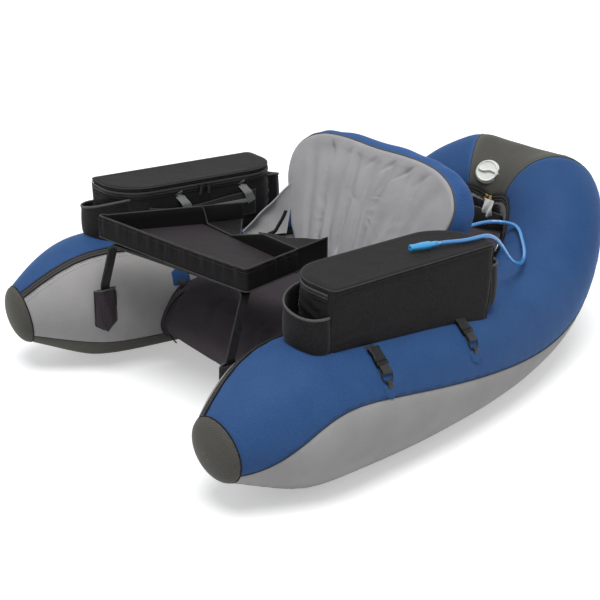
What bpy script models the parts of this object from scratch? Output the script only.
"""Float tube: a U of two inflated pontoons with a seat, bags, a stripping tray and an inflation hose.

Metres, +Z up. The sitter faces -Y, so the sitter's left is +X. The origin is under the middle of the
whole float, on the ground. The left half of the hull is modelled, and the right half mirrors it.
"""

from math import cos, degrees, hypot, pi, radians, sin, sqrt

import bmesh
import bpy
import numpy as np
from mathutils import Matrix, Vector

# Overall sizes
LENGTH = 1.420
WIDTH = 1.120
TUBE_RADIUS = 0.152
STERN_LIFT = 0.185
NOSE_DEPTH = 0.030

# Walls and clearances
SKIN = 0.0010
BLADDER_WALL = 0.0006
FIT_GAP = 0.0003
OVERRUN = 0.010

# Centre line of the left half, from the nose ring to the middle of the stern
PATH_X_SHARES = (0.759, 0.7375, 0.709, 0.630, 0.457, 0.291, 0.0)
PATH_Y_SHARES = (-0.9552, -0.7535, -0.4915, -0.0155, 0.4915, 0.724, 0.817)
PATH_RADIUS_SHARES = (0.461, 0.941, 1.0, 0.947, 0.836, 0.803, 0.855)
PATH_LIFT_SHARES = (0.378, 0.065, -0.012, -0.006, 0.26, 1.04, 1.0)
NOSE_STATION = 0.0
STERN_STATION = 6.0
PANEL_STATION = 5.2

# Seams round the tube, in degrees from outward over the top, at whole stations
OUTER_SEAM_DEG = (-31, 13, 18, 0, -16, -20, -20)
ZIP_DEG = (120, 119, 122, 125, 134, 164, 172)
ZIP_WIDTH = 0.015
ZIP_PROUD = 0.0012
WEAR_DEG = (214, 238, 262, 278, 290)
TOP_STEPS = 8
INNER_STEPS = 5
OUTER_STEPS = 4
RINGS_TO_PANEL = 15
RINGS_ON_PANEL = 3
NOSE_DOME_DEG = (72, 50, 27)

# Air valve on the stern panel
VALVE_STATION = 6.42
VALVE_DEG = 146
VALVE_STEM_RADIUS = 0.021
VALVE_BORE_RADIUS = 0.014
VALVE_FLANGE_RADIUS = 0.0315
VALVE_FLANGE_RISE = 0.0048
VALVE_DEPTH = 0.016
CAP_RADIUS = 0.0290
CAP_THICKNESS = 0.0050
CAP_PLUG_LENGTH = 0.008
CAP_GRIP_WIDTH = 0.0050
CAP_GRIP_RISE = 0.0045
CAP_GRIP_WAVE_SHARE = 0.11

# Brass sliders of the hull zips
HULL_SLIDER = (0.010, 0.013, 0.005)
HULL_SLIDER_CLEARANCE = 0.0008
PULL = (0.007, 0.0016, 0.030)
PULL_EYE_RADIUS = 0.0013
PULL_DROP_SHARE = 0.38

# Gear bags
BAG_LENGTH = 0.455
BAG_WIDTH = 0.155
BAG_TOP = 0.428
BAG_CENTRE_X_SHARE = 0.698
BAG_CENTRE_Y_SHARE = -0.3125
BAG_TOE_IN_DEG = 3.0
BAG_OUTER_RADIUS = 0.014
BAG_INNER_RADIUS = 0.058
BAG_LEAN = 0.010
BAG_WALL = 0.004
BAG_SKIRT = 0.020
LID_THICKNESS = 0.009
LID_EDGE_RADIUS = 0.003
BAG_ZIP_HEIGHT = 0.010
BAG_ZIP_DROP = 0.003
BAG_ZIP_PROUD = 0.0015
BAG_SLIDER = (0.006, 0.012, 0.008)
BAG_PULL = (0.002, 0.006, 0.010)
BAG_SLIDER_SPACING = 0.020
INNER_POCKET = (0.012, 0.300, 0.060)
INNER_POCKET_TOP = 0.374

# Bottle pockets on the ends of the bags
POCKET_WALL = 0.003
POCKET_FRONT = {"width": 0.128, "bulge": 0.050, "shift": 0.004, "rise": (0.370, 0.398), "end": -1}
POCKET_REAR = {"width": 0.104, "bulge": 0.042, "shift": 0.016, "rise": (0.372, 0.392), "end": 1}
POCKET_STEPS = 12
POCKET_SQUARENESS = 2.6

# Stripping tray, a trapezoid set a little askew
TRAY_FRONT_RIGHT = (-0.243, -0.560)
TRAY_FRONT_LEFT = (0.227, -0.471)
TRAY_REAR_LEFT = (0.186, -0.306)
TRAY_REAR_RIGHT = (-0.182, -0.310)
TRAY_RIM = 0.400
TRAY_WALL_HEIGHT = 0.050
TRAY_WALL = 0.004
TRAY_FLOOR = 0.003
FLAP_LENGTH = 0.098
FLAP_THICKNESS = 0.003
FLAP_INSET_SHARE = 0.40

# Frame bar of the tray and the pockets that hold its legs
BAR_WIDTH = 0.021
BAR_THICKNESS = 0.006
BAR_INSET = 0.021
LEG_LINE_Y_SHARE = -0.756
LEG_CLEARANCE = 0.0005
LEG_POCKET_WIDTH = 0.056
LEG_POCKET_WALL = 0.002
LEG_POCKET_MOUTH = 0.222
LEG_POCKET_SHOULDER = 0.136
LEG_POCKET_TIP = 0.116
LEG_BOTTOM = 0.138

# Grey webbing on each bag's inner side: two slanting bands over the pocket, joined at the foot
BAG_STRAP_WIDTH = 0.025
BAG_STRAP_THICKNESS = 0.0015
BAG_STRAP_TOP = 0.3945
BAG_STRAP_FOOT = 0.330
BAG_STRAP_RUNNER = 0.010
BAG_STRAP_RUN = 0.036
BAG_STRAP_BEND = 0.005
BAG_STRAP_SHARES = (-0.154, 0.235)

# Seat
SEAT_FRONT = -0.402
SEAT_REAR = 0.060
SEAT_TOP = 0.190
SEAT_BOTTOM = 0.046
SEAT_HALF_WIDTH = 0.300
SEAT_CROWN = 0.012
SEAT_PROFILE_SHARES = (
    (0.12, 0.02), (0.05, 0.14), (0.0, 0.42), (0.02, 0.66), (0.08, 0.86), (0.17, 0.96), (0.30, 1.0),
    (0.46, 1.0), (0.62, 1.0), (0.78, 1.0), (0.90, 0.98), (0.98, 0.86), (1.0, 0.55), (0.98, 0.22),
    (0.90, 0.06), (0.62, 0.0), (0.34, 0.0))
SEAT_COLUMNS = 12

# Backrest, about the axis of its rounded foot
BACK_HALF_WIDTH = 0.311
BACK_HEIGHT = 0.322
BACK_THICKNESS = 0.075
BACK_RIM = 0.015
BACK_TILT_DEG = 20
BACK_RECLINE_DEG = 18
BACK_FRONT_AT_SEAT = -0.045
BACK_CROWN = 0.012
BACK_CHANNELS = 6
BACK_CHANNEL_DEPTH = 0.006
BACK_OUTLINE_SHARES = (
    (0.0, -1.0), (0.34, -1.0), (0.60, -1.0), (0.74, 0.02), (0.88, 0.30), (0.985, 0.52), (0.955, 0.74),
    (0.76, 0.905), (0.45, 0.985), (0.18, 1.0), (0.0, 1.0))
BACK_SAMPLES = 3
BACK_NEST_SHARES = (0.90, 0.72, 0.52, 0.30)

# Side wings between the backrest and the seat
WING_X = 0.281
WING_THICKNESS = 0.0015
WING_FRONT = -0.140
WING_FRONT_HEIGHT = 0.012
WING_REACH = 0.150

# Anchor tabs on the inner sides of the pontoons, for the seat
ANCHOR_STATION = 2.10
ANCHOR_DEG = 154.5
ANCHOR_SIZE = (0.048, 0.046)
HANGER_DEG = 159
HANGER_SIZE = (0.018, 0.014)
PATCH_THICKNESS = 0.0015

# Buckle straps on the outer sides of the pontoons
BUCKLE_STATIONS = (1.97, 2.78)
BUCKLE_DEG = 47
STRAP_TOP_DEG = 62.4
STRAP_FOOT_DEG = 60.4
WEBBING_WIDTH = 0.024
WEBBING_THICKNESS = 0.0015
SOCKET = (0.032, 0.030, 0.0090)
SOCKET_WALL = 0.0016
SOCKET_END = 0.006
PLUG_BODY_LENGTH = 0.010
PRONG_LENGTH = 0.0105
PRONG_WIDTH = 0.0050
PLUG_TRAVEL = 0.011
LOOP_LENGTH = 0.019
LOOP_THICKNESS = 0.0075
RING_WIRE = 0.0014
RING_SQUARENESS = 3.2
RING_TILT_DEG = 23
RING_WIDTH = 0.031
RING_LENGTH = 0.022
TAB_DEG = 23
TAB_SIZE = (0.032, 0.030)
TAB_LOOP = (0.012, 0.010, 0.0068)

# Rear of the cockpit
DECK_FRONT = 0.110
DECK_REAR = 0.346
DECK_EDGE_RISE = 0.300
DECK_SAG = 0.016
DECK_THICKNESS = 0.003
DECK_HALF_WIDTH = 0.290
REAR_FLAP_DEG = (178.5, 190)
REAR_FLAP_THICKNESS = 0.002
POUCH = (0.130, 0.030, 0.062)
POUCH_TOP = 0.302
POUCH_REACH = 0.024

# Inflation hose, from its fitting on the deck to the mouthpiece on the left bag
HOSE_DIAMETER = 0.0095
HOSE_STEP_DIAMETERS = 1.6
HOSE_ROUTE = (
    (0.105, 0.205, 0.3150), (0.113, 0.240, 0.3205), (0.122, 0.278, 0.3260), (0.135, 0.315, 0.3300),
    (0.160, 0.342, 0.3300), (0.198, 0.348, 0.3270), (0.240, 0.322, 0.3165), (0.283, 0.286, 0.3095),
    (0.318, 0.250, 0.3040), (0.343, 0.214, 0.3060), (0.362, 0.175, 0.3200), (0.379, 0.136, 0.3450),
    (0.396, 0.100, 0.3760), (0.412, 0.063, 0.4070), (0.423, 0.024, 0.4300), (0.425, -0.014, 0.4345),
    (0.421, -0.052, 0.4342), (0.414, -0.086, 0.4360), (0.410, -0.112, 0.4370))
FITTING_RADIUS = 0.0085
FITTING_LENGTH = 0.026
FITTING_FOOT_SHARE = 0.7
MOUTHPIECE_LENGTH = 0.072
MOUTHPIECE_RADIUS_SHARES = ((0.0, 0.62), (0.14, 0.62), (0.16, 0.74), (0.30, 0.74), (0.32, 1.0),
                            (0.62, 0.97), (0.80, 0.82), (0.94, 0.86), (1.0, 0.70))
MOUTHPIECE_RADIUS = 0.0085

COLOURS = {
    "hull_blue": ((0.035, 0.085, 0.235), 0.55, 0.0),
    "panel_grey": ((0.36, 0.35, 0.345), 0.60, 0.0),
    "dark_grey": ((0.10, 0.098, 0.092), 0.60, 0.0),
    "bag_black": ((0.022, 0.020, 0.022), 0.75, 0.0),
    "seat_grey": ((0.055, 0.052, 0.055), 0.75, 0.0),
    "back_grey": ((0.34, 0.34, 0.335), 0.65, 0.0),
    "webbing_black": ((0.010, 0.009, 0.010), 0.70, 0.0),
    "webbing_grey": ((0.16, 0.16, 0.155), 0.70, 0.0),
    "black_plastic": ((0.012, 0.012, 0.014), 0.35, 0.0),
    "white_plastic": ((0.76, 0.78, 0.72), 0.40, 0.0),
    "brass": ((0.60, 0.42, 0.16), 0.30, 1.0),
    "bladder": ((0.60, 0.60, 0.58), 0.45, 0.0),
    "hose_blue": ((0.05, 0.30, 0.70), 0.20, 0.0),
}


# Scene, materials and mesh helpers
def clear_scene():
    for obj in list(bpy.data.objects):
        bpy.data.objects.remove(obj, do_unlink=True)


def collection(name):
    group = bpy.data.collections.new(name)
    bpy.context.scene.collection.children.link(group)
    return group


def material(name):
    found = bpy.data.materials.get(name)
    if found:
        return found
    colour, roughness, metallic = COLOURS[name]
    made = bpy.data.materials.new(name)
    made.use_nodes = True
    shader = made.node_tree.nodes["Principled BSDF"]
    shader.inputs["Base Color"].default_value = (*colour, 1)
    shader.inputs["Roughness"].default_value = roughness
    shader.inputs["Metallic"].default_value = metallic
    return made


def add_object(name, mesh, colour=None):
    obj = bpy.data.objects.new(name, mesh)
    if colour:
        mesh.materials.clear()
        mesh.materials.append(material(colour))
        PARTS.objects.link(obj)
    else:
        CUTTERS.objects.link(obj)
        obj.hide_render = True
        obj.display_type = "WIRE"
    return obj


def finish_mesh(name, bm, colour=None, weld=FIT_GAP / 10):
    bmesh.ops.remove_doubles(bm, verts=bm.verts, dist=weld)
    bmesh.ops.recalc_face_normals(bm, faces=bm.faces)
    mesh = bpy.data.meshes.new(name)
    bm.to_mesh(mesh)
    bm.free()
    return add_object(name, mesh, colour)


def add_patch(bm, a, b, c, d, split):
    """Four-sided patch, as two triangles where its diagonal matters."""
    if split is None:
        bm.faces.new((a, b, c, d))
    elif split:
        bm.faces.new((a, b, c))
        bm.faces.new((a, c, d))
    else:
        bm.faces.new((a, b, d))
        bm.faces.new((b, c, d))


def diagonals(rows, folded):
    """Which way each row of patches is split, mirrored about the middle row when folded."""
    if folded is None:
        return [None] * (rows - 1)
    return [not folded or k < (rows - 1) / 2 for k in range(rows - 1)]


def loft(name, rings, colour=None, tips=(None, None), folded=None):
    """Closed skin through rings of equally many points. A tip closes an end, else a flat cap does."""
    bm = bmesh.new()
    rows = [[bm.verts.new(point) for point in ring] for ring in rings]
    count = len(rows[0])
    for lower, upper, split in zip(rows, rows[1:], diagonals(len(rows), folded)):
        for k in range(count):
            after = (k + 1) % count
            add_patch(bm, lower[k], lower[after], upper[after], upper[k], split)
    for row, tip in ((rows[0], tips[0]), (rows[-1], tips[1])):
        if tip is None:
            bm.faces.new(row)
            continue
        point = bm.verts.new(tip)
        for k in range(count):
            bm.faces.new((row[k], row[(k + 1) % count], point))
    return finish_mesh(name, bm, colour)


def sheet(name, outer, inner, colour=None, folded=None):
    """Closed plate between two grids of points that face each other."""
    bm = bmesh.new()
    layers = [[[bm.verts.new(point) for point in row] for row in grid] for grid in (outer, inner)]
    rows = len(outer)
    columns = len(outer[0])
    splits = diagonals(rows, folded)
    for layer in layers:
        for i in range(rows - 1):
            for j in range(columns - 1):
                near, far = layer[i], layer[i + 1]
                add_patch(bm, near[j], near[j + 1], far[j + 1], far[j], splits[i])
    rim = [(i, 0) for i in range(rows)] + [(rows - 1, j) for j in range(1, columns)]
    rim += [(i, columns - 1) for i in range(rows - 2, -1, -1)]
    rim += [(0, j) for j in range(columns - 2, 0, -1)]
    for k, (i, j) in enumerate(rim):
        m, n = rim[(k + 1) % len(rim)]
        bm.faces.new((layers[0][i][j], layers[0][m][n], layers[1][m][n], layers[1][i][j]))
    return finish_mesh(name, bm, colour)


def box(name, size, place=Matrix(), colour=None, bevel=0.0):
    bm = bmesh.new()
    bmesh.ops.create_cube(bm, size=1)
    bmesh.ops.scale(bm, vec=size, verts=bm.verts)
    if bevel:
        bmesh.ops.bevel(bm, geom=bm.edges[:], offset=bevel, segments=1, affect="EDGES", profile=0.5)
    bm.transform(place)
    return finish_mesh(name, bm, colour)


def cylinder(name, radius, low, high, place=Matrix(), colour=None, sides=32):
    bm = bmesh.new()
    bmesh.ops.create_cone(bm, cap_ends=True, segments=sides, radius1=radius, radius2=radius,
                          depth=high - low, matrix=Matrix.Translation((0, 0, (low + high) / 2)))
    bm.transform(place)
    return finish_mesh(name, bm, colour)


def prism(name, outline, low, high, colour=None, place=Matrix()):
    """Upright solid on a flat outline."""
    bm = bmesh.new()
    face = bm.faces.new([bm.verts.new((x, y, low)) for x, y in outline])
    raised = bmesh.ops.extrude_face_region(bm, geom=[face])["geom"]
    top = [item for item in raised if isinstance(item, bmesh.types.BMVert)]
    bmesh.ops.translate(bm, vec=(0, 0, high - low), verts=top)
    bm.transform(place)
    return finish_mesh(name, bm, colour)


def strap(name, points, across, width, thickness, colour=None):
    """Flat band swept along points, as wide as width along the given direction."""
    points = [Vector(p) for p in points]
    across = Vector(across).normalized()
    rings = []
    for k, point in enumerate(points):
        ahead = points[min(k + 1, len(points) - 1)] - points[max(k - 1, 0)]
        normal = ahead.cross(across).normalized()
        before = (point - points[k - 1]).normalized() if k else ahead.normalized()
        stretch = 1 / max(abs(before.dot(ahead.normalized())), cos(pi / 3))
        half = normal * thickness / 2 * stretch
        side = across * width / 2
        rings.append([point - side - half, point + side - half, point + side + half, point - side + half])
    return loft(name, rings, colour)


def boolean(obj, tool, operation="DIFFERENCE"):
    """Cuts or joins with a tool, and keeps the result as the object's own mesh."""
    modifier = obj.modifiers.new(operation.lower(), "BOOLEAN")
    modifier.operation = operation
    modifier.object = tool
    modifier.solver = "EXACT"
    graph = bpy.context.evaluated_depsgraph_get()
    mesh = bpy.data.meshes.new_from_object(obj.evaluated_get(graph))
    obj.modifiers.clear()
    mesh.materials.clear()
    for slot in obj.data.materials:
        mesh.materials.append(slot)
    obj.data = mesh
    return obj


def spend(obj, tool, operation="DIFFERENCE"):
    """Same, and drops the tool, which is used once."""
    boolean(obj, tool, operation)
    bpy.data.objects.remove(tool, do_unlink=True)
    return obj


def fuse(first, *others):
    """One body from pieces that overlap, such as sewn or moulded ones."""
    for other in others:
        spend(first, other, "UNION")
    return first


def mirrored(obj, name):
    """Copy on the other side of the middle plane, with its own origin mirrored too."""
    mesh = obj.data.copy()
    mesh.transform(Matrix.Scale(-1, 4, (1, 0, 0)))
    mesh.flip_normals()
    copy = add_object(name, mesh, obj.data.materials[0].name)
    copy.location = Vector((-obj.location.x, obj.location.y, obj.location.z))
    return copy


def pivot_at(obj, point):
    """Puts the object's origin on its joint's axis."""
    point = Vector(point)
    obj.data.transform(Matrix.Translation(-point))
    obj.location = point
    return obj


def soft_curve(points):
    """Natural cubic curve through points, as a function of the point's number."""
    values = np.array(points, float)
    count = len(values)
    system = np.eye(count)
    bends = np.zeros_like(values)
    for k in range(1, count - 1):
        system[k, k - 1:k + 2] = (1, 4, 1)
        bends[k] = 6 * (values[k + 1] - 2 * values[k] + values[k - 1])
    second = np.linalg.solve(system, bends)

    def at(t):
        k = int(min(max(t, 0), count - 1.000001))
        b = t - k
        a = 1 - b
        point = a * values[k] + b * values[k + 1]
        point = point + ((a ** 3 - a) * second[k] + (b ** 3 - b) * second[k + 1]) / 6
        return point.tolist()
    return at


# Hull surface
def hull_stations():
    radii = [share * TUBE_RADIUS for share in PATH_RADIUS_SHARES]
    half = [(x * WIDTH / 2, y * LENGTH / 2, lift * STERN_LIFT + radius, radius)
            for x, y, lift, radius in zip(PATH_X_SHARES, PATH_Y_SHARES, PATH_LIFT_SHARES, radii)]
    return half + [(-x, y, z, radius) for x, y, z, radius in reversed(half[:-1])]


HULL_CURVE = soft_curve(hull_stations())
OUTER_SEAM = soft_curve([(d,) for d in OUTER_SEAM_DEG])
ZIP_LINE = soft_curve([(d,) for d in ZIP_DEG])
STEP = 1e-3


def half_station(s):
    return min(s, 2 * STERN_STATION - s)


def hull_frame(s):
    """Centre, radius, outward, upward and forward-going directions of the tube at a station."""
    x, y, z, radius = HULL_CURVE(s)
    ahead = Vector(HULL_CURVE(min(s + STEP, 2 * STERN_STATION))[:3])
    behind = Vector(HULL_CURVE(max(s - STEP, 0))[:3])
    along = (ahead - behind).normalized()
    outward = along.cross(Vector((0, 0, 1))).normalized()
    return Vector((x, y, z)), radius, outward, outward.cross(along), along


def hull_point(s, degrees_up, inset=0.0):
    """Point on the tube, or that far inside it. The keel is flat where the float stands."""
    centre, radius, outward, upward, _ = hull_frame(s)
    angle = radians(degrees_up)
    point = centre + (radius - inset) * (cos(angle) * outward + sin(angle) * upward)
    point.z = max(point.z, inset)
    return point


def hull_place(s, degrees_up, rise=0.0):
    """Frame on the tube: X along the pontoon to the stern, Y round it to the top, Z off it."""
    centre, radius, outward, upward, along = hull_frame(s)
    angle = radians(degrees_up)
    off = cos(angle) * outward + sin(angle) * upward
    round_up = off.cross(along).normalized()
    turn = Matrix((along, round_up, off)).transposed().to_4x4()
    return Matrix.Translation(centre + off * (radius + rise)) @ turn


def spread(low, high, steps):
    return [low + (high - low) * k / steps for k in range(steps + 1)]


def zip_edges(s):
    radius = hull_frame(s)[1]
    middle = ZIP_LINE(half_station(s))[0]
    half = degrees(ZIP_WIDTH / 2 / radius)
    return middle - half, middle + half


def seam_angles(s):
    """Angles of the panels' rows at a station, one list for each panel."""
    low = OUTER_SEAM(half_station(s))[0]
    zip_low, zip_high = zip_edges(s)
    return {
        "top": spread(low, zip_low, TOP_STEPS),
        "zip": [zip_low, zip_high],
        "inner": spread(zip_high, WEAR_DEG[0], INNER_STEPS),
        "wear": list(WEAR_DEG),
        "outer": spread(WEAR_DEG[-1], low + 360, OUTER_STEPS),
    }


def ring_angles(s):
    rows = seam_angles(s)
    return [a for part in ("top", "zip", "inner", "wear", "outer") for a in rows[part][:-1]]


def ring_stations(first, last):
    """Stations of the rings between two stations, the same for every layer of the hull."""
    half = spread(NOSE_STATION, PANEL_STATION, RINGS_TO_PANEL)
    half += spread(PANEL_STATION, STERN_STATION, RINGS_ON_PANEL)[1:]
    whole = half + [2 * STERN_STATION - s for s in reversed(half[:-1])]
    return [s for s in whole if first - STEP <= s <= last + STEP]


def nose_point(s, degrees_up, inset, dome_deg):
    """Point on the domed end of a pontoon, ahead of its last ring."""
    centre, radius, outward, upward, along = hull_frame(s)
    ahead = -along if s < STERN_STATION else along
    angle = radians(degrees_up)
    rise = radians(dome_deg)
    point = centre + ahead * (NOSE_DEPTH - inset) * sin(rise)
    return point + (radius - inset) * cos(rise) * (cos(angle) * outward + sin(angle) * upward)


def ring_layout(s, inset, ridge):
    """Angles and depths of a ring's points; a ridge makes room for the raised zip."""
    if not ridge:
        return [(a, inset) for a in ring_angles(s)]
    zip_low, zip_high = zip_edges(s)
    clear = degrees(FIT_GAP / 2 / hull_frame(s)[1])
    layout = []
    for angle in ring_angles(s):
        if angle == zip_low:
            layout += [(zip_low - clear, inset), (zip_low - clear, inset - ridge)]
        elif angle == zip_high:
            layout += [(zip_high + clear, inset - ridge), (zip_high + clear, inset)]
        else:
            layout.append((angle, inset))
    return layout


def hull_solid(name, inset, ridge=0.0):
    """The whole U as one closed solid, the given depth inside the outer surface."""
    end = 2 * STERN_STATION

    def dome(s, dome_deg):
        return [nose_point(s, a, depth, dome_deg) for a, depth in ring_layout(s, inset, ridge)]

    rings = [dome(0, d) for d in NOSE_DOME_DEG]
    rings += [[hull_point(s, a, depth) for a, depth in ring_layout(s, inset, ridge)] for s in ring_stations(0, end)]
    rings += [dome(end, d) for d in reversed(NOSE_DOME_DEG)]
    return loft(name, rings, None, (nose_point(0, 0, inset, 90), nose_point(end, 0, inset, 90)), True)


def hull_panel(name, part, first, last, colour, proud=0.0):
    """One sewn panel of the cover, trimmed by half a seam gap on every side."""
    grids = []
    for inset in (-proud, SKIN):
        grid = []
        stations = ring_stations(first, last)
        for s in stations:
            rows = list(seam_angles(s)[part])
            trim = degrees(FIT_GAP / 2 / hull_frame(s)[1])
            rows[0] += trim
            rows[-1] -= trim
            shift = 0.0
            if s == stations[0]:
                shift = FIT_GAP / 2
            if s == stations[-1]:
                shift = -FIT_GAP / 2
            along = hull_frame(s)[4]
            grid.append([hull_point(s, a, inset) + along * shift for a in rows])
        grids.append(grid)
    return sheet(name, grids[0], grids[1], colour, last > STERN_STATION)


def hull_patch(name, s, degrees_up, outline, thickness, colour):
    """Flat outline laid on the hull: its prism shares its space with a layer over the skin."""
    place = hull_place(s, degrees_up, -TUBE_RADIUS / 4)
    patch = prism(name, outline, 0, TUBE_RADIUS / 2, colour, place)
    layer = hull_solid("layer", -FIT_GAP - thickness)
    spend(patch, layer, "INTERSECT")
    return boolean(patch, HULL_CUTTER)


def pentagon(width, height, point_share=0.28):
    """House shape, its point towards -Y."""
    shoulder = -height / 2 + height * point_share
    return [(-width / 2, height / 2), (-width / 2, shoulder), (0, -height / 2), (width / 2, shoulder),
            (width / 2, height / 2)]


def rectangle(width, height):
    return [(-width / 2, -height / 2), (width / 2, -height / 2), (width / 2, height / 2), (-width / 2, height / 2)]


def hull_top(x, y):
    """Height of the left pontoon's top surface over a place."""
    best = min((hypot(HULL_CURVE(s)[0] - x, HULL_CURVE(s)[1] - y), s) for s in spread(0, STERN_STATION, 240))
    reach, s = best
    _, _, z, radius = HULL_CURVE(s)
    return z + sqrt(max(radius ** 2 - reach ** 2, 0))


# Hull pieces
def make_bladder():
    """Thin airtight wall: an outer skin, and the same skin turned inwards, open at the valve."""
    outside = hull_solid("outside", SKIN + FIT_GAP)
    inside = hull_solid("inside", SKIN + FIT_GAP + BLADDER_WALL)
    inside.data.flip_normals()
    bm = bmesh.new()
    for shell in (outside, inside):
        bm.from_mesh(shell.data)
        bpy.data.objects.remove(shell, do_unlink=True)
    mesh = bpy.data.meshes.new("main_bladder")
    bm.to_mesh(mesh)
    bm.free()
    return spend(add_object("main_bladder", mesh, "bladder"), valve_hole())


def valve_hole():
    place = hull_place(VALVE_STATION, VALVE_DEG)
    return cylinder("valve_hole", VALVE_STEM_RADIUS + FIT_GAP, -VALVE_DEPTH, VALVE_DEPTH, place)


def make_cover():
    end = 2 * STERN_STATION
    hull_panel("inner_panel", "inner", NOSE_STATION, end, "panel_grey")
    hull_panel("outer_panel", "outer", NOSE_STATION, end, "panel_grey")
    hull_panel("wear_strip", "wear", NOSE_STATION, end, "dark_grey")
    hull_panel("hull_zip", "zip", NOSE_STATION, end, "webbing_black", ZIP_PROUD)
    left = hull_panel("left_top_panel", "top", NOSE_STATION, PANEL_STATION, "hull_blue")
    mirrored(left, "right_top_panel")
    stern = hull_panel("stern_panel", "top", PANEL_STATION, end - PANEL_STATION, "dark_grey")
    spend(stern, valve_hole())


def make_nose_cap():
    """Domed shell over the end of the pontoon."""
    angles = ring_angles(0)
    along = hull_frame(0)[4]
    layers = []
    for inset in (0.0, SKIN):
        edge = [hull_point(0, a, inset) - along * FIT_GAP / 2 for a in angles]
        layers.append([edge] + [[nose_point(0, a, inset, d) for a in angles] for d in reversed(NOSE_DOME_DEG)])
    outer, inner = layers
    cap = loft("left_nose_cap", list(reversed(outer)) + inner, "dark_grey",
               (nose_point(0, 0, 0, 90), nose_point(0, 0, SKIN, 90)))
    mirrored(cap, "right_nose_cap")


def make_valve():
    place = hull_place(VALVE_STATION, VALVE_DEG)
    body = cylinder("valve_body", VALVE_FLANGE_RADIUS, -VALVE_FLANGE_RISE * 2, VALVE_FLANGE_RISE, place,
                    "white_plastic", 40)
    boolean(body, HULL_CUTTER)
    spend(body, cylinder("stem", VALVE_STEM_RADIUS, -VALVE_DEPTH, VALVE_FLANGE_RISE / 2, place, None, 32), "UNION")
    spend(body, cylinder("bore", VALVE_BORE_RADIUS, -VALVE_DEPTH - OVERRUN, OVERRUN, place, None, 32))
    low = VALVE_FLANGE_RISE + FIT_GAP
    cap = cylinder("valve_cap", CAP_RADIUS, low, low + CAP_THICKNESS, place, "white_plastic", 40)
    plug = cylinder("plug", VALVE_BORE_RADIUS - FIT_GAP, low - CAP_PLUG_LENGTH, low + CAP_THICKNESS / 2, place)
    spend(cap, plug, "UNION")
    spend(cap, make_cap_grip(place, low + CAP_THICKNESS), "UNION")
    return pivot_at(cap, place.translation)


def make_cap_grip(place, seat):
    """Raised finger bar with an S-shaped course across the cap."""
    reach = CAP_RADIUS - CAP_GRIP_WIDTH
    runs = spread(-1, 1, 10)
    side = [(t * reach, reach * CAP_GRIP_WAVE_SHARE * sin(pi * t)) for t in runs]
    outline = [(x, y + CAP_GRIP_WIDTH / 2) for x, y in side]
    outline += [(x, y - CAP_GRIP_WIDTH / 2) for x, y in reversed(side)]
    return prism("grip", outline, seat - CAP_THICKNESS / 4, seat + CAP_GRIP_RISE, None, place)


def zip_facet(first, second):
    """Flat bit of the zip between two of its rings: X along it, Z off it."""
    corners = [hull_point(s, a, -ZIP_PROUD) for s in (first, second) for a in zip_edges(s)]
    middle = sum(corners, Vector()) / 4
    along = (corners[2] + corners[3] - corners[0] - corners[1]).normalized()
    across = (corners[1] + corners[3] - corners[0] - corners[2]).normalized()
    off = across.cross(along).normalized()
    off = off if off.dot(middle - hull_frame(second)[0]) > 0 else -off
    turn = Matrix((along, off.cross(along), off)).transposed().to_4x4()
    return Matrix.Translation(middle) @ turn


def zip_arc():
    """Centre of the arc that the zip follows left of the stern's middle, and the arc's axis."""
    first, second, third = [hull_point(s, ZIP_LINE(s)[0], -ZIP_PROUD) for s in
                            ring_stations(PANEL_STATION, STERN_STATION)[-3:]]
    a, b = first - third, second - third
    normal = a.cross(b)
    centre = third + (a.length_squared * b - b.length_squared * a).cross(normal) / (2 * normal.length_squared)
    return centre, normal.normalized()


def make_hull_sliders():
    """Brass slider and hanging pull on each side of the middle of the stern."""
    stations = ring_stations(PANEL_STATION, STERN_STATION)
    width, height, depth = HULL_SLIDER
    rise = HULL_SLIDER_CLEARANCE + depth / 2
    place = zip_facet(stations[-2], stations[-1]) @ Matrix.Translation((0, 0, rise))
    slider = box("left_hull_slider", HULL_SLIDER, place, "brass", depth / 5)
    hinge = place @ Vector((0, height * PULL_DROP_SHARE, depth / 2 + PULL_EYE_RADIUS + FIT_GAP))
    wide, thin, drop = PULL
    hang = Matrix.Translation((hinge.x, hinge.y, hinge.z + PULL_EYE_RADIUS - drop / 2))
    pull = box("left_zip_pull", PULL, hang, "brass", thin / 4)
    pivot_at(slider, zip_arc()[0])
    pivot_at(pull, hinge)
    mirrored(slider, "right_hull_slider")
    mirrored(pull, "right_zip_pull")


# Bags
def bag_place(sign=1):
    centre = Vector((BAG_CENTRE_X_SHARE * WIDTH / 2, BAG_CENTRE_Y_SHARE * LENGTH / 2, 0))
    return Matrix.Translation(centre) @ Matrix.Rotation(radians(BAG_TOE_IN_DEG), 4, "Z")


def bag_outline(inset=0.0, lean=0.0):
    """D-shaped plan: X to the outer side, tight outer corners and wide inner ones."""
    half_w = BAG_WIDTH / 2 - inset
    half_l = BAG_LENGTH / 2 - inset
    corners = ((1, 1, BAG_OUTER_RADIUS, 3), (-1, 1, BAG_INNER_RADIUS, 6), (-1, -1, BAG_INNER_RADIUS, 6),
               (1, -1, BAG_OUTER_RADIUS, 3))
    points = []
    for number, (sx, sy, radius, steps) in enumerate(corners):
        radius = max(radius - inset, inset)
        start = number * pi / 2
        for angle in spread(start, start + pi / 2, steps):
            x = sx * (half_w - radius) + radius * cos(angle)
            y = sy * (half_l - radius) + radius * sin(angle)
            points.append((x - (lean if sx > 0 else 0), y))
    return points


def bag_levels():
    """Floor, rim and lid heights of the bag on the crest of its pontoon."""
    crest = max(HULL_CURVE(s)[2] + HULL_CURVE(s)[3] for s in spread(1, 3, 40)) + FIT_GAP
    rim = BAG_TOP - LID_THICKNESS - FIT_GAP
    return crest, rim


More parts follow.
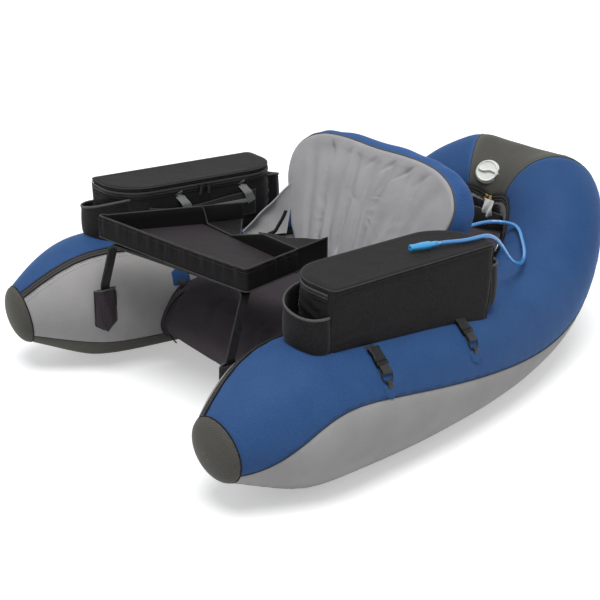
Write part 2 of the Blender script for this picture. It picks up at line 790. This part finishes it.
def make_bag():
    """Open bag with its zip tape and the flat pocket on its inner side, and a lid hinged outside."""
    place = bag_place()
    crest, rim = bag_levels()
    foot = crest - BAG_SKIRT
    rings = [[place @ Vector((x, y, z)) for x, y in bag_outline(0, lean)]
             for z, lean in ((foot, BAG_LEAN), (rim, 0))]
    body = loft("left_bag_body", rings, "bag_black")
    spend(body, make_zip_tape(place, rim), "UNION")
    deep, long, tall = INNER_POCKET
    middle = Matrix.Translation((-BAG_WIDTH / 2, 0, INNER_POCKET_TOP - tall / 2))
    spend(body, box("pocket", (deep * 2, long, tall), place @ middle, None, deep / 3), "UNION")
    rings = [[place @ Vector((x, y, z)) for x, y in bag_outline(BAG_WALL, lean)]
             for z, lean in ((crest + BAG_WALL, BAG_LEAN), (rim + OVERRUN, 0))]
    spend(body, loft("room", rings))
    boolean(body, HULL_CUTTER)
    mirrored(body, "right_bag_body")

    bm = bmesh.new()
    low = rim + FIT_GAP
    face = bm.faces.new([bm.verts.new((x, y, low)) for x, y in bag_outline()])
    raised = bmesh.ops.extrude_face_region(bm, geom=[face])["geom"]
    upper = [item for item in raised if isinstance(item, bmesh.types.BMVert)]
    bmesh.ops.translate(bm, vec=(0, 0, LID_THICKNESS), verts=upper)
    top = [item for item in raised if isinstance(item, bmesh.types.BMFace)][0]
    bmesh.ops.bevel(bm, geom=list(top.edges), offset=LID_EDGE_RADIUS, segments=2, affect="EDGES", profile=0.5)
    bm.transform(place)
    lid = finish_mesh("left_bag_lid", bm, "bag_black")
    pivot_at(lid, place @ Vector((BAG_WIDTH / 2, 0, rim + FIT_GAP / 2)))
    mirrored(lid, "right_bag_lid")
    return place, crest, rim


def make_zip_tape(place, rim):
    """Tape round the inner side and the ends of the bag, just under the lid."""
    high = rim - BAG_ZIP_DROP
    tape = prism("tape", bag_outline(-BAG_ZIP_PROUD), high - BAG_ZIP_HEIGHT, high, None, place)
    hinge_side = place @ Matrix.Translation((BAG_WIDTH / 2 - BAG_OUTER_RADIUS + BAG_WIDTH / 2, 0, high))
    return spend(tape, box("hinge_side", (BAG_WIDTH, BAG_LENGTH * 2, BAG_ZIP_HEIGHT * 3), hinge_side))


def make_bag_sliders(place, rim):
    """Two sliders that meet on the inner side of the bag, each with its pull."""
    deep, long, tall = BAG_SLIDER
    face = -(BAG_WIDTH / 2 + FIT_GAP + BAG_ZIP_PROUD)
    middle = rim - BAG_ZIP_DROP - BAG_ZIP_HEIGHT / 2
    for name, way in (("front", -1), ("rear", 1)):
        y = way * BAG_SLIDER_SPACING / 2
        at = Matrix.Translation((face - deep / 2, y, middle))
        slider = box(f"left_{name}_bag_slider", BAG_SLIDER, place @ at, "black_plastic", deep / 6)
        thick, wide, drop = BAG_PULL
        hang = Matrix.Translation((face - deep / 2, y, middle - tall / 2 - drop / 2 + thick))
        spend(slider, box("pull", BAG_PULL, place @ hang), "UNION")
        pivot_at(slider, place @ Vector((face, y, middle)))
        mirrored(slider, f"right_{name}_bag_slider")


def pocket_outline(spec, inset):
    """Rounded bulge on a straight back, seen from above; the back lies on X."""
    half = spec["width"] / 2 - inset
    reach = spec["bulge"] - 2 * inset
    points = []
    for angle in spread(0, pi, POCKET_STEPS):
        power = 2 / POCKET_SQUARENESS
        x = half * abs(cos(angle)) ** power * (1 if cos(angle) >= 0 else -1)
        points.append((x, inset + reach * abs(sin(angle)) ** power))
    return points


def make_bottle_pocket(place, crest, spec, name):
    """Open pocket on one end of the bag, its rim rising towards the inner side."""
    end = spec["end"]
    outer_rim, inner_rim = spec["rise"]

    def ring(inset, level):
        points = []
        for x, y in pocket_outline(spec, inset):
            share = 0.5 - x / spec["width"]
            z = level if level is not None else outer_rim + (inner_rim - outer_rim) * share
            local = Vector((x + spec["shift"], end * (BAG_LENGTH / 2 + FIT_GAP + y), z))
            points.append(place @ local)
        return points

    foot = crest - BAG_SKIRT
    pocket = loft("left_" + name, [ring(0, foot), ring(0, None)], "bag_black")
    room = [ring(POCKET_WALL, crest + POCKET_WALL), ring(POCKET_WALL, BAG_TOP)]
    spend(pocket, loft("room", room))
    boolean(pocket, HULL_CUTTER)
    mirrored(pocket, "right_" + name)


# Tray
def tray_line(inset):
    """The tray's outline drawn in by a wall, as four corners."""
    corners = [Vector(c) for c in (TRAY_FRONT_RIGHT, TRAY_FRONT_LEFT, TRAY_REAR_LEFT, TRAY_REAR_RIGHT)]
    moved = []
    for k, corner in enumerate(corners):
        before = (corner - corners[k - 1]).normalized()
        after = (corners[(k + 1) % 4] - corner).normalized()
        half_turn = before.cross(after)
        moved.append(tuple(corner + (after - before) * inset / half_turn))
    return moved


def make_tray():
    low = TRAY_RIM - TRAY_WALL_HEIGHT
    rear_left = Vector(TRAY_REAR_LEFT)
    rear_right = Vector(TRAY_REAR_RIGHT)
    rear = (rear_left - rear_right).normalized()
    span = (rear_left - rear_right).length
    ledges, ends = [], []
    for corner, front, way in ((rear_left, Vector(TRAY_FRONT_LEFT), -1), (rear_right, Vector(TRAY_FRONT_RIGHT), 1)):
        edge = (corner - front).normalized()
        across = rear * way * TRAY_WALL
        tip = corner + edge * FLAP_LENGTH
        ends.append([tip, tip + across, corner + across])
        start = corner - edge * TRAY_WALL + across / 2
        inner = start + rear * way * span * FLAP_INSET_SHARE
        ledges.append([start, tip - edge * TRAY_WALL + across / 2, inner])
    outline = [TRAY_FRONT_RIGHT, TRAY_FRONT_LEFT] + ends[0] + ends[1][::-1]
    tray = prism("tray_body", outline, low, TRAY_RIM, "bag_black")
    for ledge in ledges:
        fuse(tray, prism("ledge", ledge, TRAY_RIM - FLAP_THICKNESS, TRAY_RIM - FIT_GAP))
    spend(tray, prism("room", tray_line(TRAY_WALL), low + TRAY_FLOOR, TRAY_RIM + OVERRUN))
    return pivot_at(tray, (0, LEG_LINE_Y_SHARE * LENGTH / 2, low))


def leg_face():
    """Outer face of a leg where it stands against the pontoon, as X on the left side."""
    y = LEG_LINE_Y_SHARE * LENGTH / 2
    near = [HULL_CURVE(s) for s in spread(NOSE_STATION, STERN_STATION / 3, 400)]
    side = min(x - radius for x, along, _, radius in near if abs(along - y) < BAR_WIDTH / 2 + LEG_CLEARANCE)
    return side - FIT_GAP - LEG_POCKET_WALL - LEG_CLEARANCE


def make_tray_frame():
    """One flat bar: up from the right pocket, along the tray's front and down to the left pocket."""
    y = LEG_LINE_Y_SHARE * LENGTH / 2
    x = leg_face() - BAR_THICKNESS / 2
    under = TRAY_RIM - TRAY_WALL_HEIGHT - FIT_GAP - BAR_THICKNESS / 2
    front = [Vector(c) for c in tray_line(BAR_INSET)[:2]]
    bend = LEG_POCKET_MOUTH + BAR_WIDTH / 2
    ease = BAR_WIDTH / 2
    right_top = Vector((front[0].x, front[0].y, under))
    left_top = Vector((front[1].x, front[1].y, under))
    down = (right_top - Vector((-x, y, bend))).normalized()
    down_left = (left_top - Vector((x, y, bend))).normalized()
    level = (left_top - right_top).normalized()
    path = [(-x, y, LEG_BOTTOM), (-x, y, bend), right_top - down * ease, right_top + level * ease]
    path += [left_top - level * ease, left_top - down_left * ease, (x, y, bend), (x, y, LEG_BOTTOM)]
    frame = strap("tray_frame", path, (0, 1, 0), BAR_WIDTH, BAR_THICKNESS, "webbing_black")
    tray_bottom = box("over", (WIDTH, LENGTH, TRAY_WALL_HEIGHT),
                      Matrix.Translation((0, 0, TRAY_RIM - FIT_GAP - TRAY_WALL_HEIGHT / 2)))
    spend(frame, tray_bottom)
    return pivot_at(frame, (0, y, under))


def make_leg_pockets():
    y = LEG_LINE_Y_SHARE * LENGTH / 2
    outer = leg_face()
    inner = outer - BAR_THICKNESS - LEG_CLEARANCE * 2
    turn = Matrix(((0, 0, 1), (1, 0, 0), (0, 1, 0))).to_4x4()
    place = Matrix.Translation((0, y, 0)) @ turn
    half = LEG_POCKET_WIDTH / 2
    outline = [(-half, LEG_POCKET_MOUTH), (-half, LEG_POCKET_SHOULDER), (0, LEG_POCKET_TIP),
               (half, LEG_POCKET_SHOULDER), (half, LEG_POCKET_MOUTH)]
    pocket = prism("left_leg_pocket", outline, inner - LEG_POCKET_WALL, outer + TUBE_RADIUS / 4, "seat_grey", place)
    slot = Vector((outer - inner + LEG_CLEARANCE, BAR_WIDTH + LEG_CLEARANCE * 4, LEG_POCKET_MOUTH - LEG_BOTTOM))
    slot.z += OVERRUN + LEG_CLEARANCE
    middle = ((inner + outer) / 2 + LEG_CLEARANCE / 2, y, LEG_BOTTOM - LEG_CLEARANCE + slot.z / 2)
    spend(pocket, box("slot", slot, Matrix.Translation(middle)))
    boolean(pocket, HULL_CUTTER)
    mirrored(pocket, "right_leg_pocket")


def make_bag_straps(place):
    """Two slanting bands from under the zip over the inner pocket, joined by a runner at its foot."""
    half = BAG_STRAP_THICKNESS / 2
    near = -BAG_WIDTH / 2 - FIT_GAP - half
    far = near - INNER_POCKET[0]
    low = INNER_POCKET_TOP + BAG_STRAP_BEND / 2
    slant = BAG_STRAP_RUN / (BAG_STRAP_TOP - BAG_STRAP_FOOT)
    bands = []
    for share in BAG_STRAP_SHARES:
        points = []
        for x, z in ((near, BAG_STRAP_TOP), (near, low + 2 * BAG_STRAP_BEND), (far, low), (far, BAG_STRAP_FOOT)):
            points.append(place @ Vector((x, share * BAG_LENGTH + slant * (BAG_STRAP_TOP - z), z)))
        across = place.to_3x3() @ Vector((0, 1, 0))
        bands.append(strap("band", points, across, BAG_STRAP_WIDTH, BAG_STRAP_THICKNESS, "webbing_grey"))
    ends = [share * BAG_LENGTH + BAG_STRAP_RUN for share in BAG_STRAP_SHARES]
    outline = [(far - half, ends[0]), (far + half, ends[0]), (far + half, ends[1]), (far - half, ends[1])]
    bands.append(prism("runner", outline, BAG_STRAP_FOOT, BAG_STRAP_FOOT + BAG_STRAP_RUNNER, "webbing_grey", place))
    bands[0].name = "left_bag_strap"
    mirrored(fuse(*bands), "right_bag_strap")


# Seat and backrest
def make_seat():
    """Cushion with a crowned top, cut to the pontoons on both sides."""
    rings = []
    for share in spread(-1, 1, SEAT_COLUMNS):
        x = share * SEAT_HALF_WIDTH
        crown = SEAT_CROWN * (1 - share ** 2)
        ring = []
        for y_share, z_share in SEAT_PROFILE_SHARES:
            y = SEAT_FRONT + (SEAT_REAR - SEAT_FRONT) * y_share
            z = SEAT_BOTTOM + (SEAT_TOP - SEAT_BOTTOM + crown) * z_share
            ring.append((x, y, z))
        rings.append(ring)
    seat = loft("seat_cushion", rings, "seat_grey")
    return boolean(seat, HULL_CUTTER)


def seat_height(y):
    """Top of the seat along its middle."""
    share = (y - SEAT_FRONT) / (SEAT_REAR - SEAT_FRONT)
    top = [point for point in SEAT_PROFILE_SHARES if point[1] > 0.5]
    for (y0, z0), (y1, z1) in zip(top, top[1:]):
        if y0 <= share <= y1:
            z = z0 + (z1 - z0) * (share - y0) / (y1 - y0)
            return SEAT_BOTTOM + (SEAT_TOP + SEAT_CROWN - SEAT_BOTTOM) * z
    return SEAT_TOP + SEAT_CROWN


def back_place():
    """Frame on the foot's axis: X across, Y back through the cushion, Z up its face."""
    tilt = radians(BACK_TILT_DEG)
    half = BACK_THICKNESS / 2
    y = BACK_FRONT_AT_SEAT + half * (1 + sin(tilt)) / cos(tilt)
    return Matrix.Translation((0, y, seat_height(y) + FIT_GAP + half)) @ Matrix.Rotation(-tilt, 4, "X")


def back_outline():
    """Points round the cushion, each with the depth of its rounded rim."""
    half = BACK_THICKNESS / 2
    curve = soft_curve([(x * BACK_HALF_WIDTH, -half if v < 0 else v * BACK_HEIGHT)
                        for x, v in BACK_OUTLINE_SHARES])
    steps = (len(BACK_OUTLINE_SHARES) - 1) * BACK_SAMPLES
    right = []
    for k in range(steps + 1):
        x, v = curve(k / BACK_SAMPLES)
        v = max(v, -half)
        rim = half if v < 0 else BACK_RIM + (half - BACK_RIM) * max(0, 1 - v / half)
        right.append((x, v, rim))
    left = [(-x, v, rim) for x, v, rim in reversed(right[1:-1])]
    return right + left


def make_backrest():
    """Pillow with a rounded rim, a crowned front and soft upright channels."""
    place = back_place()
    outline = back_outline()
    half = BACK_THICKNESS / 2
    middle_v = BACK_HEIGHT / 2

    def ring(depth, rim_share, nest=1.0, bulge=0.0):
        points = []
        for x, v, rim in outline:
            reach = hypot(x, v - middle_v)
            scale = (1 - rim * rim_share / reach) * nest
            px, pv = x * scale, middle_v + (v - middle_v) * scale
            y = depth
            if nest < 1:
                channel = cos(pi * BACK_CHANNELS * px / BACK_HALF_WIDTH) * BACK_CHANNEL_DEPTH / 2
                y = depth - bulge * (1 - nest ** 2) - channel * (1 - nest) ** 0.5
            points.append(place @ Vector((px, y, pv)))
        return points

    rings = [ring(-half, 1, nest, BACK_CROWN) for nest in reversed(BACK_NEST_SHARES)]
    lowest = -BACK_TILT_DEG
    for angle in (90, 60, 30, 5, lowest, lowest - BACK_RECLINE_DEG, -64, -90):
        rings.append(ring(-half * sin(radians(angle)), 1 - cos(radians(angle))))
    rings.append(ring(half, 1, BACK_NEST_SHARES[1], 0))
    front = place @ Vector((0, -half - BACK_CROWN, middle_v))
    rear = place @ Vector((0, half, middle_v))
    back = loft("backrest", rings, "back_grey", (front, rear))
    return pivot_at(back, place.translation)


def make_wings():
    """Upright fabric gussets that run forward from the backrest over the pontoons."""
    back = back_place()
    front_face = -BACK_THICKNESS / 2 - BACK_CROWN - FIT_GAP
    outline = [back @ Vector((WING_X, front_face, v)) for v in (0, WING_REACH)]
    base = hull_top(WING_X, WING_FRONT)
    outline += [Vector((WING_X, WING_FRONT, base + z)) for z in (WING_FRONT_HEIGHT, -BAG_SKIRT)]
    turn = Matrix(((0, 0, 1), (1, 0, 0), (0, 1, 0))).to_4x4()
    wing = prism("left_wing", [(y, z) for _, y, z in outline], WING_X, WING_X + WING_THICKNESS, "panel_grey", turn)
    boolean(wing, HULL_CUTTER)
    mirrored(wing, "right_wing")


def make_anchors():
    """Blue tab with the webbing under it that the seat hangs from."""
    tab = hull_patch("left_seat_anchor", ANCHOR_STATION, ANCHOR_DEG, pentagon(*ANCHOR_SIZE), PATCH_THICKNESS,
                     "hull_blue")
    webbing = hull_patch("webbing", ANCHOR_STATION, HANGER_DEG, rectangle(*HANGER_SIZE), 2 * PATCH_THICKNESS, None)
    fuse(tab, webbing)
    mirrored(tab, "right_seat_anchor")


# Buckle straps
def strap_places(s):
    """Frame on the middle of a buckle: X along the pontoon, Y up to the bag, Z off the hull."""
    return hull_place(s, BUCKLE_DEG, FIT_GAP * 3)


def frame_box(name, outer, inner, place, colour=None):
    """Band with an open middle, its hole along X."""
    band = box(name, outer, place, colour)
    return spend(band, box("hole", inner, place))


def make_buckle(s, name):
    place = strap_places(s)
    length, width, thick = SOCKET
    half = length / 2
    lift = thick / 2
    socket = box(f"left_{name}_buckle", (width, length, thick), place @ Matrix.Translation((0, half, lift)),
                 "black_plastic", thick / 6)
    room = (width - 2 * SOCKET_WALL, length - SOCKET_END + OVERRUN, thick - 2 * SOCKET_WALL)
    spend(socket, box("room", room, place @ Matrix.Translation((0, room[1] / 2 - OVERRUN, lift))))

    plug = box(f"left_{name}_plug", (width, PLUG_BODY_LENGTH, thick),
               place @ Matrix.Translation((0, -FIT_GAP - PLUG_BODY_LENGTH / 2, lift)), "black_plastic", thick / 6)
    prong = (PRONG_WIDTH, PRONG_LENGTH + PLUG_BODY_LENGTH / 2, room[2] - 2 * FIT_GAP)
    side = room[0] / 2 - FIT_GAP - PRONG_WIDTH / 2
    for x in (-side, 0, side):
        middle = PRONG_LENGTH - prong[1] / 2
        spend(plug, box("prong", prong, place @ Matrix.Translation((x, middle, lift))), "UNION")
    loop_middle = -FIT_GAP - PLUG_BODY_LENGTH - LOOP_LENGTH / 2 + WEBBING_THICKNESS
    loop_place = place @ Matrix.Translation((0, loop_middle, LOOP_THICKNESS / 2))
    outer = (WEBBING_WIDTH, LOOP_LENGTH, LOOP_THICKNESS)
    inner = (WEBBING_WIDTH + OVERRUN, LOOP_LENGTH - 2 * WEBBING_THICKNESS, LOOP_THICKNESS - 2 * WEBBING_THICKNESS)
    spend(plug, frame_box("loop", outer, inner, loop_place), "UNION")
    pivot_at(plug, place.translation)

    rest = loop_middle - LOOP_LENGTH / 2 + WEBBING_THICKNESS + FIT_GAP + RING_WIRE
    hang = place @ Matrix.Translation((0, rest, LOOP_THICKNESS / 2)) @ Matrix.Rotation(radians(RING_TILT_DEG), 4, "X")
    ring = make_ring(hang, f"left_{name}_ring")
    foot = -RING_LENGTH + RING_WIRE + 2 * FIT_GAP + WEBBING_THICKNESS - TAB_LOOP[1] / 2
    return socket, plug, ring, hang @ Matrix.Translation((0, foot, 0))


def make_ring(place, name):
    """D-ring: straight bar in the buckle's loop, round end in the tab."""
    half = RING_WIDTH / 2 - RING_WIRE
    arc = RING_LENGTH - 2 * RING_WIRE
    points = [(-half, 0), (half, 0)]
    power = 2 / RING_SQUARENESS
    for angle in spread(0, pi, 10):
        way = 1 if cos(angle) >= 0 else -1
        x = half * way * abs(cos(angle)) ** power
        points.append((x, -(RING_LENGTH - arc) - arc * abs(sin(angle)) ** power))
    curve = bpy.data.curves.new("ring", "CURVE")
    curve.dimensions = "3D"
    curve.bevel_depth = RING_WIRE
    curve.bevel_resolution = 1
    spline = curve.splines.new("POLY")
    spline.points.add(len(points) - 1)
    for target, (x, y) in zip(spline.points, points):
        target.co = (x, y, 0, 1)
    spline.use_cyclic_u = True
    holder = bpy.data.objects.new("ring_curve", curve)
    CUTTERS.objects.link(holder)
    graph = bpy.context.evaluated_depsgraph_get()
    mesh = bpy.data.meshes.new_from_object(holder.evaluated_get(graph))
    bpy.data.objects.remove(holder, do_unlink=True)
    mesh.transform(place)
    return add_object(name, mesh, "black_plastic")


def make_buckle_straps():
    for s, name in zip(BUCKLE_STATIONS, ("front", "rear")):
        socket, plug, ring, tab_place = make_buckle(s, name)
        off = -(FIT_GAP + WEBBING_THICKNESS / 2)
        start = strap_places(s) @ Vector((0, SOCKET[1] - SOCKET_END / 2, SOCKET[2] / 2))
        path = [start] + [hull_point(s, a, off) for a in spread(STRAP_FOOT_DEG, STRAP_TOP_DEG, 2)]
        webbing = strap("webbing", path, hull_frame(s)[4], WEBBING_WIDTH, WEBBING_THICKNESS)
        boolean(webbing, HULL_CUTTER)
        fuse(socket, webbing)

        loop = TAB_LOOP
        inner = (loop[0] + OVERRUN, loop[1] - 2 * WEBBING_THICKNESS, loop[2] - 2 * WEBBING_THICKNESS)
        tab = hull_patch(f"left_{name}_tab", s, TAB_DEG, pentagon(*TAB_SIZE), PATCH_THICKNESS, "hull_blue")
        band = frame_box("band", loop, inner, tab_place)
        boolean(band, HULL_CUTTER)
        fuse(tab, band)
        mirrored(plug, f"right_{name}_plug")
        for piece in (socket, ring, tab):
            mirrored(piece, piece.name.replace("left", "right"))


# Rear of the cockpit
def make_deck():
    """Sagging fabric deck between the pontoons, behind the backrest."""
    grids = []
    for drop in (0.0, DECK_THICKNESS):
        grid = []
        for y in spread(DECK_FRONT, DECK_REAR, 4):
            row = []
            for share in spread(-1, 1, 10):
                sag = DECK_SAG * (1 - share ** 2)
                row.append((share * DECK_HALF_WIDTH, y, DECK_EDGE_RISE - sag - drop))
            grid.append(row)
        grids.append(grid)
    deck = sheet("rear_deck", grids[0], grids[1], "seat_grey")
    boolean(deck, HULL_CUTTER)
    points = hose_points()
    start = facing(points[0], points[1] - points[0])
    outlet = cylinder("outlet", FITTING_RADIUS, -FITTING_LENGTH - FIT_GAP, -FIT_GAP, start, None, 16)
    level = DECK_EDGE_RISE - DECK_SAG
    foot = start @ Vector((0, 0, -FITTING_LENGTH / 2 - FIT_GAP))
    size = (FITTING_RADIUS * 3, FITTING_LENGTH * FITTING_FOOT_SHARE, foot.z - level)
    foot.z = level + size[2] / 2
    return fuse(deck, fuse(box("foot", size, Matrix.Translation(foot)), outlet))


def make_rear_flap():
    """Flap under the zip, round the inside of the stern, with a soft pouch and a blank tag sewn to it."""
    low, high = REAR_FLAP_DEG
    radius = hull_frame(STERN_STATION)[1]
    half = WIDTH * PATH_X_SHARES[-2] / 3
    flap = hull_patch("rear_flap", STERN_STATION, (low + high) / 2,
                      rectangle(2 * half, radius * radians(high - low)), REAR_FLAP_THICKNESS, "bag_black")
    wide, deep, tall = POUCH
    face = hull_point(STERN_STATION, 180).y
    place = Matrix.Translation((0, face - POUCH_REACH + deep / 2, POUCH_TOP - tall / 2))
    pouch = box("pouch", POUCH, place, None, deep / 4)
    boolean(pouch, HULL_CUTTER)
    return fuse(flap, pouch)


def hose_points():
    """Points on one smooth line through the route, a step of a few diameters apart."""
    curve = soft_curve(HOSE_ROUTE)
    fine = [Vector(curve(t)) for t in spread(0, len(HOSE_ROUTE) - 1, 600)]
    length = sum((b - a).length for a, b in zip(fine, fine[1:]))
    count = round(length / (HOSE_DIAMETER * HOSE_STEP_DIAMETERS))
    points, run, target = [fine[0]], 0.0, length / count
    for a, b in zip(fine, fine[1:]):
        run += (b - a).length
        while run >= target * len(points) and len(points) < count:
            points.append(b)
    points.append(fine[-1])
    return points


def make_hose():
    points = hose_points()
    curve = bpy.data.curves.new("inflation_hose", "CURVE")
    curve.dimensions = "3D"
    curve.bevel_depth = HOSE_DIAMETER / 2
    curve.bevel_resolution = 2
    curve.use_fill_caps = True
    spline = curve.splines.new("POLY")
    spline.points.add(len(points) - 1)
    for target, point in zip(spline.points, points):
        target.co = (*point, 1)
    hose = bpy.data.objects.new("inflation_hose", curve)
    curve.materials.append(material("hose_blue"))
    PARTS.objects.link(hose)
    return points


def facing(point, way):
    """Frame at a point with Z along a direction."""
    return Matrix.Translation(point) @ Vector(way).to_track_quat("Z", "Y").to_matrix().to_4x4()


def make_mouthpiece(points):
    end = facing(points[-1], points[-1] - points[-2])
    profile = [(r * MOUTHPIECE_RADIUS, FIT_GAP + z * MOUTHPIECE_LENGTH) for z, r in MOUTHPIECE_RADIUS_SHARES]
    rings = [[end @ Vector((r * cos(a), r * sin(a), z)) for a in spread(0, 2 * pi, 16)[:-1]] for r, z in profile]
    return loft("mouthpiece", rings, "hose_blue")


def main():
    global PARTS, CUTTERS, HULL_CUTTER
    clear_scene()
    PARTS = collection("float_tube")
    CUTTERS = collection("cutters")
    HULL_CUTTER = hull_solid("hull_cutter", -FIT_GAP, ZIP_PROUD)
    make_bladder()
    make_cover()
    make_nose_cap()
    make_valve()
    make_hull_sliders()
    place, crest, rim = make_bag()
    make_bag_sliders(place, rim)
    make_bottle_pocket(place, crest, POCKET_FRONT, "front_bottle_pocket")
    make_bottle_pocket(place, crest, POCKET_REAR, "rear_bottle_pocket")
    make_tray()
    make_tray_frame()
    make_leg_pockets()
    make_bag_straps(place)
    make_seat()
    make_backrest()
    make_wings()
    make_anchors()
    make_buckle_straps()
    make_deck()
    make_rear_flap()
    make_mouthpiece(make_hose())


main()
